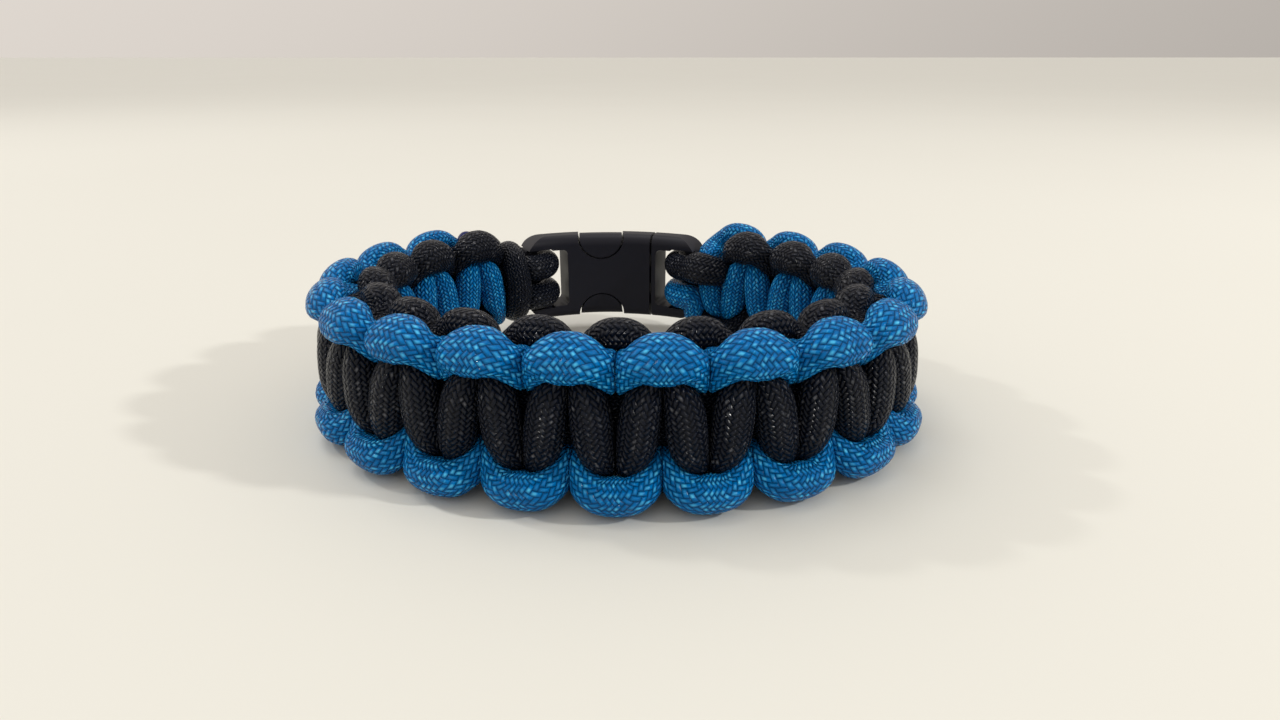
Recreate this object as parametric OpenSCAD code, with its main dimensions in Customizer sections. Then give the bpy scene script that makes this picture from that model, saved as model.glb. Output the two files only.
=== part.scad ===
// Woven two-colour cord bracelet on a side-release buckle, closed and standing on its lower edge.
//
// The band is laid out straight first: x runs along it, y outwards from the wrist, z up from its
// middle. Every strand is a route of points with a ring round each one. Where two strands press
// on each other, both rings stop at the plane midway between them, as soft cord does. The
// straight band is then bent round the loop.

/* [Loop] */
// How much wider the loop is than it is deep, as a share of its mean radius
loop_oval = 0.077; // [0.05:0.003:0.11]
// How far the loop leans out of square, as a share of its mean radius
loop_lean = 0.038; // [0:0.002:0.05]
// How much flatter the buckle side is than the front, as a share of its mean radius
loop_egg = 0.031; // [0.015:0.002:0.045]

/* [Weave] */
// Number of half knots, an odd number
knots = 35; // [31:2:39]
// Distance along the band from one half knot to the next
knot_pitch = 4.7; // [4.6:0.1:5.2]
// Diameter of the cord where nothing presses on it
cord_d = 4.5; // [4.3:0.1:4.6]
// Height of the band from its lower bumps to its upper ones
band_h = 19.8; // [19.2:0.1:21]
// Thickness of the band over its two rows of bars
band_t = 9.6; // [9.4:0.1:11]
// Thickness of the flattened bumps
bump_t = 4.2; // [3.9:0.1:4.4]
// Width of the flattened bumps
bump_w = 6; // [5.6:0.1:6.4]
// Width of each core strand inside the weave
core_w = 3; // [2.8:0.1:3.2]
// Thickness of each core strand inside the weave
core_t = 2; // [1.8:0.1:2.2]
// Air left between strands that press on each other
strand_gap = 0.3; // [0.26:0.02:0.36]
// Room along the band between the plug and the first bar of the weave
plug_lead = 3.6; // [3.2:0.1:5]
// Room along the band between the last bar of the weave and the socket
socket_lead = 7.2; // [6.8:0.1:9]

/* [Buckle] */
// Length of the closed buckle
buckle_len = 31.6; // [30:0.1:34]
// Height of the buckle across the band
buckle_h = 14.3; // [13.8:0.1:16]
// Thickness of the buckle
buckle_t = 5; // [4.8:0.1:5.6]
// Length of the plug that shows beyond the socket's mouth
plug_base = 8.3; // [8:0.1:9]
// Gap that shows between the socket's mouth and the plug
mouth_gap = 0.4; // [0.3:0.05:0.8]
// Width of each bar that the cord goes round
bar_w = 2.2; // [1.8:0.1:2.4]
// Thickness of each bar
bar_t = 2.4; // [2:0.1:2.8]
// Width of the slot behind each bar
slot_w = 5.1; // [4.8:0.1:5.3]
// Height of the slot behind each bar
slot_h = 9.8; // [9.6:0.1:10.6]
// Wall of the socket over its cavity
wall = 1.2; // [1:0.05:1.4]
// Radius of the side windows that the prong heads fill
window_r = 3.9; // [3.5:0.1:4.1]
// Distance from the middle of the buckle to the middle of the side windows
window_x = 2; // [1.6:0.1:2.4]
// Clearance between the plug and the socket
buckle_clear = 0.25; // [0.2:0.05:0.35]
// Thickness of each prong's arm
arm_w = 1.5; // [1.2:0.1:1.8]
// Height of the plug's centre guide
guide_h = 3; // [2.4:0.1:3.4]

/* [Hidden] */
black = [0.07, 0.07, 0.08];
blue = [0.02, 0.42, 0.78];
plastic = [0.12, 0.12, 0.13];
far = 1000;

cord_r = cord_d / 2;
bar_y = (band_t - cord_d) / 2;
bump_lean = 46;
bump_reach_z = norm([bump_t * sin(bump_lean), bump_w * cos(bump_lean)]) / 2;
edge_z = band_h / 2 - bump_reach_z;
first_bar = buckle_len / 2 + plug_lead;
last_bar = first_bar + (knots - 1) * knot_pitch;
loop_len = last_bar + socket_lead + buckle_len / 2;
plug_bar = buckle_len / 2 - bar_w / 2;
socket_bar = loop_len - plug_bar;
pressed = 0.91;
hug = bar_t / 2 + cord_r * pressed;
thread = bar_w / 2 + cord_r * pressed;
lane = slot_h / 4;
core_z = (core_w + strand_gap) / 2;
swell = 1.05;
end_gap = 2.5 * strand_gap;
rail_h = (buckle_h - slot_h) / 2;
rail_z = (slot_h + rail_h) / 2;

// Roundings and small offsets of the buckle
corner_r = 4;
rim_r = 1.6;
slot_r = 0.8;
fine_r = 0.3;
relief_r = 0.4;
relief_over = 0.25;
side_wall_more = 0.3;
head_sink = 0.2;
head_rim_r = 1.9;
window_sink = 0.25;
guide_short = 3;
join = 0.3;

// Plan of the loop: a circle with small waves of its radius, by angle from the buckle.
PLAN = [
    // order, cosine share, sine share
    [2, -loop_oval, -loop_lean],
    [3, loop_egg, 0.004],
    [4, 0.010, 0.005]
];
plan_steps = 240;

// One half knot, from the middle of one bar to the middle of the next.
HALF_KNOT = [
    // along in pitches, across in bar offsets, out in edge heights, lean in degrees, flatness
    [0.00, 1.00, 0.00, 0, 0],
    [-0.01, 0.92, 0.41, 11, 0.2],
    [-0.10, 0.34, 0.58, 46, 0.5],
    [-0.24, -0.52, 0.68, 94, 0.5],
    [-0.05, -1.02, 0.93, 130, 0.9],
    [0.39, -0.99, 1.00, 134, 1],
    [1.16, -0.45, 0.98, 119, 0.7],
    [1.34, 0.27, 0.73, 69, 0.5],
    [1.30, 0.83, 0.48, 20, 0.3]
];
stations = len(HALF_KNOT);
sides = 8;
skip = 3;

// Number helpers
function unit(v) = v / norm(v);
function wave(a, i = 0) = i == len(PLAN) ? 1
    : PLAN[i][1] * cos(PLAN[i][0] * a) + PLAN[i][2] * sin(PLAN[i][0] * a) + wave(a, i + 1);

// Plan of the loop by distance along it, starting at the middle of the buckle
raw_plan = [for (i = [0 : plan_steps]) let (a = 360 * i / plan_steps) wave(a) * [sin(a), cos(a)]];
raw_arc = [for (i = 0, s = 0; i <= plan_steps;
    s = s + (i < plan_steps ? norm(raw_plan[i + 1] - raw_plan[i]) : 0), i = i + 1) s];
plan_k = loop_len / raw_arc[plan_steps];
plan_way = [for (i = [0 : plan_steps])
    unit(raw_plan[(i + 1) % plan_steps] - raw_plan[(i + plan_steps - 1) % plan_steps])];
function column(list, axis, k) = [for (i = [0 : plan_steps]) [raw_arc[i] * plan_k, list[i][axis] * k]];
plan_x = column(raw_plan, 0, plan_k);
plan_y = column(raw_plan, 1, plan_k);
way_x = column(plan_way, 0, 1);
way_y = column(plan_way, 1, 1);
function wrapped(s) = s - floor(s / loop_len) * loop_len;
function plan_at(s) = let (w = wrapped(s)) [lookup(w, plan_x), lookup(w, plan_y)];
function way_at(s) = let (w = wrapped(s)) unit([lookup(w, way_x), lookup(w, way_y)]);
function bend(p) = let (c = plan_at(p.x), t = way_at(p.x))
    [c.x - p.y * t.y, c.y + p.y * t.x, p.z + band_h / 2];

// A route is a list of stops, each with its point, its outward direction and its section
function points(route) = [for (stop = route) stop[0]];
function round_stop(p) = [p, unit([0, p.y, p.z]), 0];
function knot_stop(row, side, edge, start) = [
    [start + row[0] * knot_pitch, side * row[1] * bar_y, edge * row[2] * edge_z],
    [0, side * cos(row[3]), edge * sin(row[3])],
    row[4]];
function parity(h) = h % 2 == 0 ? 1 : -1;
function weave_route(first, last, side, edge) = [for (h = [first : last], row = HALF_KNOT)
    knot_stop(row, side, edge * parity(h), first_bar + (h - 1) * knot_pitch)];

// Start of each weaving strand: out of the core, round the plug's bar and over to the first bar
function start_route(side, edge) = let (places = [
    [first_bar + knot_pitch, 0, core_z],
    [first_bar, 0.1, core_z],
    [plug_bar + 1.1 * bar_w, 0.5 * hug, 0.9 * lane],
    [plug_bar + 0.6 * bar_w, 0.9 * hug, lane],
    [plug_bar - 0.1 * bar_w, hug, lane],
    [plug_bar - 0.7 * thread, 0.7 * hug, lane],
    [plug_bar - thread, 0, lane],
    [plug_bar - 0.7 * thread, -0.7 * hug, lane],
    [plug_bar - 0.1 * bar_w, -hug, lane],
    [plug_bar + 0.9 * bar_w, -hug, 1.05 * lane],
    [first_bar - 0.6 * knot_pitch, -0.75 * hug, 0.8 * edge_z],
    [first_bar - 0.36 * knot_pitch, -(0.36 + 0.2 * side) * hug, 1.02 * edge_z]])
    concat(
        [for (p = places) round_stop([p.x, p.y, edge * p.z])],
        [for (j = [stations - 3 : stations - 1])
            knot_stop(HALF_KNOT[j], side, edge, first_bar - knot_pitch)]);

// End of each weaving strand, past the middle of the last bar
function end_route(rows, side, edge) =
    [for (row = concat([for (j = [0 : 2]) HALF_KNOT[j]], rows)) knot_stop(row, side, edge, last_bar)];
BLACK_END = [
    // along in pitches, across in bar offsets, out in edge heights, lean in degrees, flatness
    [-0.22, -0.45, 0.68, 94, 0.5],
    [-0.10, -0.95, 0.86, 125, 0.5]
];
BLUE_END = [
    // along in pitches, across in bar offsets, out in edge heights, lean in degrees, flatness
    [-0.28, -0.30, 0.80, 100, 0.4],
    [-0.42, -0.40, 1.14, 120, 0.1]
];

// Core: up one side, round the socket's bar in a hitch, and back down the other side
function hitch_route(edge) = [for (p = [
    [last_bar + 0.3 * knot_pitch, -0.2, core_z],
    [socket_bar - 1.3 * bar_w, -0.45 * hug, 0.9 * lane],
    [socket_bar - 0.75 * bar_w, -0.88 * hug, lane],
    [socket_bar, -hug, lane],
    [socket_bar + 0.7 * thread, -0.7 * hug, lane],
    [socket_bar + thread, 0, lane],
    [socket_bar + 0.7 * thread, 0.7 * hug, lane],
    [socket_bar, hug, lane],
    [socket_bar - 1.1 * bar_w, 0.8 * hug, 1.5 * lane],
    [socket_bar - 1.6 * bar_w, 0, 2.25 * lane],
    [socket_bar - 1.7 * bar_w, -0.75 * hug, 1.9 * lane],
    [socket_bar - 1.7 * bar_w, -1.2 * hug, 0.95 * lane]]) round_stop([p.x, p.y, edge * p.z])];
function reversed(list) = [for (i = [len(list) - 1 : -1 : 0]) list[i]];
function core_run(edge) = [for (h = [1 : knots - 1])
    round_stop([first_bar + h * knot_pitch + (h == 1 ? strand_gap : 0), 0, edge * core_z])];
hitch = concat(hitch_route(1), [round_stop([socket_bar - 1.7 * bar_w, -1.35 * hug, 0])],
    reversed(hitch_route(-1)));
core_route = concat(core_run(1), hitch, reversed(core_run(-1)));

// Rings round a route: a ring stays within this share of the bend's own radius, above the least radius
bend_share = 0.8;
least_r = 0.3;
softness = 6;
reach = 3 * cord_d;
function samples(route) = let (list = points(route))
    [for (i = [0 : len(list) - 2], k = [0 : 0.25 : 0.75]) list[i] + k * (list[i + 1] - list[i])];
function tangent(list, i) = unit(list[min(i + 1, len(list) - 1)] - list[max(i - 1, 0)]);
function turning(list, i) = i == 0 || i == len(list) - 1 ? [0, 0, 0]
    : let (a = list[i] - list[i - 1], b = list[i + 1] - list[i])
    (unit(b) - unit(a)) * 2 / (norm(a) + norm(b));
function own(list, i) = [for (j = [0 : len(list) - 1]) if (abs(i - j) > skip) list[j]];
function slab(p, d, h) = abs(p) <= h ? 0 : p * d < 0 ? (abs(p) - h) / abs(d) : far;
function core_limit(c, d) = c.x < first_bar - knot_pitch / 2 || c.x > last_bar + knot_pitch / 2 ? far
    : max(slab(c.y, d.y, core_t / 2 + strand_gap), slab(c.z, d.z, core_z + core_w / 2 + strand_gap));
function bar_limit(c, d, x) = abs(c.z) > slot_h / 2 ? far
    : max(slab(c.x - x, d.x, bar_w / 2 + end_gap), slab(c.y, d.y, bar_t / 2 + end_gap));
function rail_limit(c, d, x) = max(
    slab(c.x - x, d.x, buckle_len / 2 + end_gap),
    slab(c.y, d.y, buckle_t / 2 + end_gap),
    slab(abs(c.z) - rail_z, d.z * sign(c.z), rail_h / 2 + strand_gap));
function near(list, c) = [for (q = list) let (l = norm(q - c)) if (l > least_r && l < reach) q];
function limit(c, d, q, gap) = let (v = q - c, l = norm(v), k = v * d)
    k < 0.1 * l ? far : (l - gap) / 2 * l / k;
function free_radius(a, flat) = let (
    t = cord_d + flat * (bump_t - cord_d),
    w = cord_d + flat * (bump_w - cord_d))
    1 / norm([2 * cos(a) / t, 2 * sin(a) / w]);
function squeezed(free, r) =
    1 / pow(pow(1 / free, softness) + pow(1 / max(r, least_r), softness), 1 / softness);
function ring(route, list, i, others, gap, core) = let (
    c = list[i],
    t = tangent(list, i),
    out = route[i][1],
    n1 = unit(out - (out * t) * t),
    n2 = cross(t, n1),
    turn = turning(list, i),
    pressing = near(concat(others, own(list, i)), c))
    [for (k = [0 : sides - 1]) let (
        a = 360 * k / sides,
        d = n1 * cos(a) + n2 * sin(a),
        inside = turn * d,
        r = min(concat(
            [inside > 0.01 ? bend_share / inside : far],
            [core ? far : core_limit(c, d)],
            [bar_limit(c, d, plug_bar), bar_limit(c, d, socket_bar)],
            [rail_limit(c, d, 0), rail_limit(c, d, loop_len)],
            [for (q = pressing) limit(c, d, q, gap)])))
        c + squeezed(free_radius(a, route[i][2]) * swell, r) * d];
function rings(route, first, last, others, gap = end_gap, core = false) = let (list = points(route))
    [for (i = [first : last]) ring(route, list, i, others, gap, core)];

// One half knot's rings, worked out once among its neighbours and repeated by mirrors
model_route = weave_route(-1, 3, 1, -1);
model_others = samples(weave_route(-1, 3, -1, 1));
model_rings = rings(model_route, 2 * stations, 3 * stations - 1, model_others, strand_gap);
function repeated(first, last, side, edge) = [for (h = [first : last], ring = model_rings)
    let (e = edge * parity(h)) [for (k = [0 : sides - 1])
        let (v = ring[side * e > 0 ? k : (sides - k) % sides])
        [v.x + (h - 1) * knot_pitch, side * v.y, e * v.z]]];

// Both weaving strands: start, first half knot, repeated half knots, last half knot, end
black_start = start_route(1, 1);
blue_start = start_route(-1, -1);
black_head = concat(black_start, weave_route(1, 3, 1, 1));
blue_head = concat(blue_start, weave_route(1, 3, -1, -1));
black_tail = concat(weave_route(knots - 3, knots - 1, 1, 1), end_route(BLACK_END, 1, -1));
blue_tail = concat(weave_route(knots - 3, knots - 1, -1, -1), end_route(BLUE_END, -1, 1));
function head_rings(route, others) =
    rings(route, 0, len(black_start) + stations - 1, samples(others));
function tail_rings(route, others) =
    rings(route, 2 * stations, len(route) - 1, concat(samples(others), samples(hitch)));
black_rings = concat(head_rings(black_head, blue_head), repeated(2, knots - 2, 1, 1),
    tail_rings(black_tail, blue_tail));
blue_rings = concat(head_rings(blue_head, black_head), repeated(2, knots - 2, -1, -1),
    tail_rings(blue_tail, black_tail));

// The core's rings are plain inside the weave and squeezed in the hitch
function core_ring(c) = [for (k = [0 : sides - 1]) let (a = 360 * k / sides)
    c + [0, -sin(a) * core_t / 2, sign(c.z) * cos(a) * core_w / 2]];
function plain_rings(first, last) = [for (i = [first : last]) core_ring(core_route[i][0])];
hitch_first = knots - 1;
hitch_last = hitch_first + len(hitch) - 1;
tails = concat(samples(black_tail), samples(blue_tail));
core_rings = concat(
    plain_rings(0, hitch_first - 1),
    rings(core_route, hitch_first, hitch_last, tails, end_gap, true),
    plain_rings(hitch_last + 1, len(core_route) - 1));

// A strand as one closed solid: rings bent round the loop, joined by triangles, ends capped
function joined(lists) = [for (list = lists, v = list) v];
function mean(list, i = 0) = i == len(list) ? list[0] * 0 : list[i] / len(list) + mean(list, i + 1);
function side_faces(count) = [for (i = [0 : count - 2], k = [0 : sides - 1])
    let (a = i * sides + k, b = i * sides + (k + 1) % sides)
    for (face = [[a, a + sides, b], [b, a + sides, b + sides]]) face];
function cap_faces(start, tip, way) = [for (k = [0 : sides - 1])
    let (a = start + k, b = start + (k + 1) % sides) way > 0 ? [a, tip, b] : [b, tip, a]];
module strand(list) {
    count = len(list);
    bent = [for (v = joined(list)) bend(v)];
    first_tip = mean([for (k = [0 : sides - 1]) bent[k]]);
    last_tip = mean([for (k = [0 : sides - 1]) bent[(count - 1) * sides + k]]);
    polyhedron(
        concat(bent, [first_tip, last_tip]),
        concat(side_faces(count), cap_faces(0, count * sides, -1),
            cap_faces((count - 1) * sides, count * sides + 1, 1)),
        convexity = 10);
}

// The buckle follows an arc through both bars and the middle of its stretch of the loop
plug_end = plan_at(plug_bar);
socket_end = plan_at(socket_bar);
chord = norm(plug_end - socket_end) / 2;
chord_way = unit(plug_end - socket_end);
sag = (plan_at(0) - (plug_end + socket_end) / 2) * [-chord_way.y, chord_way.x];
arc_r = (chord * chord + sag * sag) / (2 * sag);
arc_centre = plan_at(0) - arc_r * [-chord_way.y, chord_way.x];
function arc_angle(x) = x / plug_bar * asin(chord / arc_r);

// The origin is under the middle of the whole object, on the surface it stands on
outer = [for (v = joined(concat(black_rings, blue_rings, core_rings))) bend(v)];
buckle_top = [arc_centre.x, arc_centre.y + arc_r + buckle_t / 2, band_h / 2];
function span(axis) = let (list = [for (v = concat(outer, [buckle_top])) v[axis]]) [min(list), max(list)];
origin = [(span(0)[0] + span(0)[1]) / 2, (span(1)[0] + span(1)[1]) / 2, span(2)[0]];

module black_cord() {
    color(black) translate(-origin) strand(black_rings);
}

module blue_cord() {
    color(blue) translate(-origin) strand(blue_rings);
}

module core_cord() {
    color(black) translate(-origin) strand(core_rings);
}

module on_arc() {
    translate([arc_centre.x, arc_centre.y, band_h / 2] - origin)
        rotate([0, 0, atan2(chord_way.y, chord_way.x)])
            children();
}

module at_arc(x) {
    rotate([0, 0, -arc_angle(x)])
        translate([0, arc_r, 0])
            children();
}

module rounded(w, h, r) {
    square([w - 2 * r, h], center = true);
    square([w, h - 2 * r], center = true);
    for (i = [-1, 1], j = [-1, 1])
        translate([i * (w / 2 - r), j * (h / 2 - r)])
            circle(r, $fn = 32);
}

// A stretch of the arc with a rounded section, from one place along the buckle to another
module stretch(from, to, t, h, r, y = 0, z = 0) {
    rotate([0, 0, 90 - arc_angle(to)])
        rotate_extrude(angle = arc_angle(to) - arc_angle(from), $fn = 120)
            translate([arc_r + y, z])
                rounded(t, h, r);
}

// A hole or disc that runs straight through the buckle's thickness
module through(x, z = 0) {
    at_arc(x)
        translate([0, 0, z])
            rotate([90, 0, 0])
                linear_extrude(4 * buckle_t, center = true)
                    children();
}

module slot(x) {
    through(x) rounded(slot_w, slot_h, slot_r);
}

// What the rounded corners of an end leave away
module corners(x, way) {
    for (j = [-1, 1])
        through(x - way * corner_r, j * (buckle_h / 2 - corner_r)) difference() {
            translate([way > 0 ? 0 : -2 * corner_r, j > 0 ? 0 : -2 * corner_r]) square(2 * corner_r);
            circle(corner_r, $fn = 64);
        }
}

// What thins the bar on both faces
module bar_relief(from, to) {
    for (i = [-1, 1])
        stretch(from, to, buckle_t, slot_h + 2 * relief_over, relief_r, i * (bar_t + buckle_t) / 2);
}

socket_mouth = buckle_len / 2 - plug_base - mouth_gap;
plug_face = buckle_len / 2 - plug_base;
socket_end_x = -buckle_len / 2;
window_z = buckle_h / 2 - window_sink;
cavity_t = buckle_t - 2 * wall;
cavity_h = buckle_h - 2 * (wall + side_wall_more);
cavity_from = socket_end_x + bar_w + slot_w + wall;
arm_z = cavity_h / 2 - 2 * buckle_clear - arm_w / 2;
tongue_t = cavity_t - 2 * buckle_clear;

module buckle_socket() {
    color(plastic) on_arc() difference() {
        stretch(socket_end_x, socket_mouth, buckle_t, buckle_h, rim_r);
        corners(socket_end_x, -1);
        slot(socket_end_x + bar_w + slot_w / 2);
        bar_relief(socket_end_x - 1, socket_end_x + bar_w + slot_w / 2);
        stretch(cavity_from, socket_mouth + 1, cavity_t, cavity_h, fine_r);
        for (j = [-1, 1])
            through(-window_x, j * window_z) circle(window_r, $fn = 64);
    }
}

// One of the two heads that fill the side windows
module prong_head(j) {
    intersection() {
        stretch(-window_x - window_r, -window_x + window_r, buckle_t - 2 * head_sink,
            buckle_h - head_sink, head_rim_r);
        through(-window_x, j * window_z) circle(window_r - buckle_clear, $fn = 64);
    }
}

module buckle_plug() {
    color(plastic) on_arc() {
        difference() {
            stretch(plug_face, buckle_len / 2, buckle_t, buckle_h, rim_r);
            corners(buckle_len / 2, 1);
            slot(buckle_len / 2 - bar_w - slot_w / 2);
            bar_relief(buckle_len / 2 - bar_w - slot_w / 2, buckle_len / 2 + 1);
        }
        stretch(cavity_from + guide_short, plug_face + join, tongue_t, guide_h, fine_r);
        for (j = [-1, 1]) {
            stretch(-window_x - window_r / 2, plug_face + join, tongue_t, arm_w, fine_r, z = j * arm_z);
            prong_head(j);
        }
    }
}

black_cord();
blue_cord();
core_cord();
buckle_socket();
buckle_plug();
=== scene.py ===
# %% [markdown]
# # A woven cord bracelet on its buckle
# This lesson dresses a finished CAD model of a cord bracelet. The CAD gives the sizes and the place of
# everything. Here the plain facets of its cords become soft cord with a woven sheath, and the light,
# the floor and the camera make a photograph of it.
#
# The work starts by loading the CAD frame. Everything later is placed by it, in metres.

# %% Load the frame
import math

import bpy
import numpy as np
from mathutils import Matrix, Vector


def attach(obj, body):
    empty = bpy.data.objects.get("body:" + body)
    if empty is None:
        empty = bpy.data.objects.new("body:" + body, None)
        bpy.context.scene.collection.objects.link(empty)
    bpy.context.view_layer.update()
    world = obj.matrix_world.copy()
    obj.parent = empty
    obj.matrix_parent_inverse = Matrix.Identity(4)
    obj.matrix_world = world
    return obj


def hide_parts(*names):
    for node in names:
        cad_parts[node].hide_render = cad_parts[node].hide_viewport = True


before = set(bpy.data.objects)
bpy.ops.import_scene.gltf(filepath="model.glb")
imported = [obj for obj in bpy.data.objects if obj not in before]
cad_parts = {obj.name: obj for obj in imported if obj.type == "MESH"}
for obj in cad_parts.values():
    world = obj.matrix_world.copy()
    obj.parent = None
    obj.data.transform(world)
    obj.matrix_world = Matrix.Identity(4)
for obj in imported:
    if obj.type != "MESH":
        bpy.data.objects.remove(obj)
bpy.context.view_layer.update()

print("CAD nodes:", ", ".join(sorted(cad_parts)))

# %% [markdown]
# ## Sizes
# A bracelet like this is best described along its band: x runs along the band, y out from the wrist
# and z up, all in millimetres. The lengths are the ones the CAD was built with, so that the soft
# cords lie where the plain ones do. Air between two pressed cords is much thinner here, because a
# render shows every gap. PRESSED is how thin a cord gets against a bar, as a share of its width.
# ORIGIN is the CAD's zero point, in these measures: under the middle of its box, at its lowest point.

# %% Sizes of the band
MM = 0.001
KNOTS = 35
PITCH = 4.7
CORD = 4.5
BAND_H = 19.8
BAND_T = 9.6
BUMP_T = 4.2
BUMP_W = 6.0
BUMP_LEAN = 46
CORE_W = 3.0
CORE_T = 2.0
CAD_GAP = 0.3
AIR = 0.03
PLUG_LEAD = 3.6
SOCKET_LEAD = 7.2
BUCKLE_LEN = 31.6
BUCKLE_H = 14.3
BUCKLE_T = 5.0
BAR_W = 2.2
BAR_T = 2.4
SLOT_W = 5.1
SLOT_H = 9.8
PRESSED = 0.91

BAR_Y = (BAND_T - CORD) / 2
EDGE_Z = BAND_H / 2 - math.hypot(BUMP_T * math.sin(math.radians(BUMP_LEAN)),
                                 BUMP_W * math.cos(math.radians(BUMP_LEAN))) / 2
FIRST_BAR = BUCKLE_LEN / 2 + PLUG_LEAD
LAST_BAR = FIRST_BAR + (KNOTS - 1) * PITCH
LOOP = LAST_BAR + SOCKET_LEAD + BUCKLE_LEN / 2
PLUG_BAR = BUCKLE_LEN / 2 - BAR_W / 2
SOCKET_BAR = LOOP - PLUG_BAR
HUG = BAR_T / 2 + CORD / 2 * PRESSED
THREAD = BAR_W / 2 + CORD / 2 * PRESSED
LANE = SLOT_H / 4
CORE_Z = (CORE_W + CAD_GAP) / 2
ORIGIN = Vector((0.0332, -0.3193, 0.0262))
print(f"edge height {EDGE_Z:.2f} mm, bar offset {BAR_Y:.2f} mm, loop {LOOP:.1f} mm")

# %% [markdown]
# ## The loop's plan
# Seen from above the band follows a slightly leaning oval: a circle whose radius has a few small
# waves. It could be drawn by hand as a curve, but the formula is the one the CAD bends its band
# with, so both agree everywhere. It becomes a closed poly curve that a node tree can sample.

# %% Plan curve
OVAL, LEAN, EGG = 0.077, 0.038, 0.031
WAVES = [(2, -OVAL, -LEAN), (3, EGG, 0.004), (4, 0.010, 0.005)]
PLAN_POINTS = 720
angle = np.linspace(0, 2 * np.pi, PLAN_POINTS, endpoint=False)
radius = 1 + sum(c * np.cos(n * angle) + s * np.sin(n * angle) for n, c, s in WAVES)
plan = np.stack([radius * np.sin(angle), radius * np.cos(angle)], axis=1)
plan *= LOOP / np.linalg.norm(np.roll(plan, -1, axis=0) - plan, axis=1).sum()


def plan_curve():
    data = bpy.data.curves.new("loop_plan", "CURVE")
    data.dimensions = "3D"
    spline = data.splines.new("POLY")
    spline.points.add(PLAN_POINTS - 1)
    spline.use_cyclic_u = True
    for point, (x, y) in zip(spline.points, plan):
        point.co = ((x - ORIGIN.x) * MM, (y - ORIGIN.y) * MM, (BAND_H / 2 - ORIGIN.z) * MM, 1)
    curve = bpy.data.objects.new("loop_plan", data)
    bpy.context.scene.collection.objects.link(curve)
    return curve


loop_plan = plan_curve()
print(f"plan: {PLAN_POINTS} points, {np.ptp(plan[:, 0]):.1f} by {np.ptp(plan[:, 1]):.1f} mm")

# %% [markdown]
# ## Routes of the two weaving cords
# In this weave each cord makes a bar on its own face, passes through the other cord's loop and
# turns round the band's edge in a bump. One half knot of one cord is enough: the rest are copies,
# mirrored top to bottom each time, and the second cord is the first one's mirror image. A row of the
# table is a stop of the cord's middle line: along in pitches, across in bar offsets, out in edge
# heights, then which way the section faces in degrees, how wide and flat it is, from 0 for round to
# 1, or below 0 for narrow, and how much it may swell where it is squeezed. The second half of a half
# knot mirrors the first about its top.

# %% Table of one half knot
RISE = [
    (0.00, 1.00, 0.00, 0, 0.2, 1.00),
    (-0.07, 0.97, 0.30, 7, 0.1, 1.00),
    (-0.18, 0.70, 0.52, 38, -0.3, 1.00),
    (-0.27, -0.05, 0.65, 85, 0.3, 1.35),
    (-0.25, -0.45, 0.72, 97, -0.1, 1.15),
    (-0.14, -0.90, 0.84, 110, -0.4, 1.00),
    (0.10, -1.16, 0.97, 124, 0.6, 1.00),
    (0.30, -1.19, 1.00, 132, 1.0, 1.02),
]
TOP = (0.50, -1.19, 1.01, 134, 1.0, 1.02)
HALF_KNOT = RISE + [TOP] + [(1 - row[0], *row[1:]) for row in RISE[:0:-1]]
ROWS = len(HALF_KNOT)


def parity(knot):
    return 1 if knot % 2 == 0 else -1


def knot_stop(row, side, edge, start):
    x, y, z, lean, flat, swell = row
    lean = math.radians(lean)
    return (start + x * PITCH, side * y * BAR_Y, edge * z * EDGE_Z,
            0, side * math.cos(lean), edge * math.sin(lean), flat, swell)


def weave_stops(first, last, side, edge):
    return [knot_stop(row, side, edge * parity(knot), FIRST_BAR + (knot - 1) * PITCH)
            for knot in range(first, last + 1) for row in HALF_KNOT]


print(f"{ROWS} stops a half knot, {KNOTS} half knots")

# %% [markdown]
# The beginning and the end of each cord are not regular, so they have stops of their own. The blue
# cord comes out of the core, goes round the buckle's bar from outside to inside and on to the first
# inner bar. The black cord comes from under the first bump, across the inner face, round the bar
# from inside to outside and into the first outer bar. At the other end each has a short tail. The
# sections are round, or a little flat where the black cord lies across the weave.


# %% Stops of the ends
ROUND_SWELL = 1.1


def round_stop(x, y, z, flat=0.0):
    length = math.hypot(y, z) or 1
    return (x, y, z, 0, y / length, z / length, flat, ROUND_SWELL)


def blue_start(side, edge):
    """Out of the core, round the bar from outside to inside, and down to the first inner bar."""
    places = [
        (FIRST_BAR + PITCH, 0, CORE_Z),
        (FIRST_BAR, 0.1, CORE_Z),
        (PLUG_BAR + 1.1 * BAR_W, 0.5 * HUG, 0.9 * LANE),
        (PLUG_BAR + 0.6 * BAR_W, 0.9 * HUG, LANE),
        (PLUG_BAR - 0.1 * BAR_W, HUG, LANE),
        (PLUG_BAR - 0.7 * THREAD, 0.7 * HUG, LANE),
        (PLUG_BAR - THREAD, 0, LANE),
        (PLUG_BAR - 0.7 * THREAD, -0.7 * HUG, LANE),
        (PLUG_BAR - 0.1 * BAR_W, -HUG, LANE),
        (PLUG_BAR + 0.9 * BAR_W, -HUG, 1.05 * LANE),
        (FIRST_BAR - 0.6 * PITCH, -0.75 * HUG, 0.8 * EDGE_Z),
        (FIRST_BAR - 0.36 * PITCH, -0.16 * HUG, 1.02 * EDGE_Z),
    ]
    last = [knot_stop(row, side, edge, FIRST_BAR - PITCH) for row in HALF_KNOT[-3:]]
    return [round_stop(x, y, edge * z) for x, y, z in places] + last


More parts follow.
